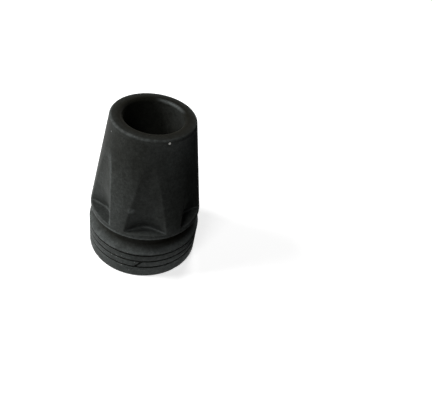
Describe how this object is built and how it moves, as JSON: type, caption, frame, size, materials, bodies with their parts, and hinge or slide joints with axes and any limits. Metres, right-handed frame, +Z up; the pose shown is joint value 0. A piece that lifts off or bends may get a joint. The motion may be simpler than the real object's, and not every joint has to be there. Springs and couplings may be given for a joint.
{
  "type": "rubber cane tip",
  "caption": "One-piece black rubber tip for a walking cane: a scalloped cone with a blind bore, a flange over a grooved round foot, and a ringed, notched flat sole.",
  "frame": {"origin": "centre of the sole, on the surface that the tip stands on", "axes": "+Z up the cane along the bore, -Y toward the front scallop"},
  "size_m": [0.04, 0.04, 0.055],
  "materials": {
    "moulded_rubber": "satin moulded black rubber, a little rougher and greyer round the foot"
  },
  "bodies": {
    "root": {"rubber_tip": "moulded_rubber"}
  },
  "joints": []
}
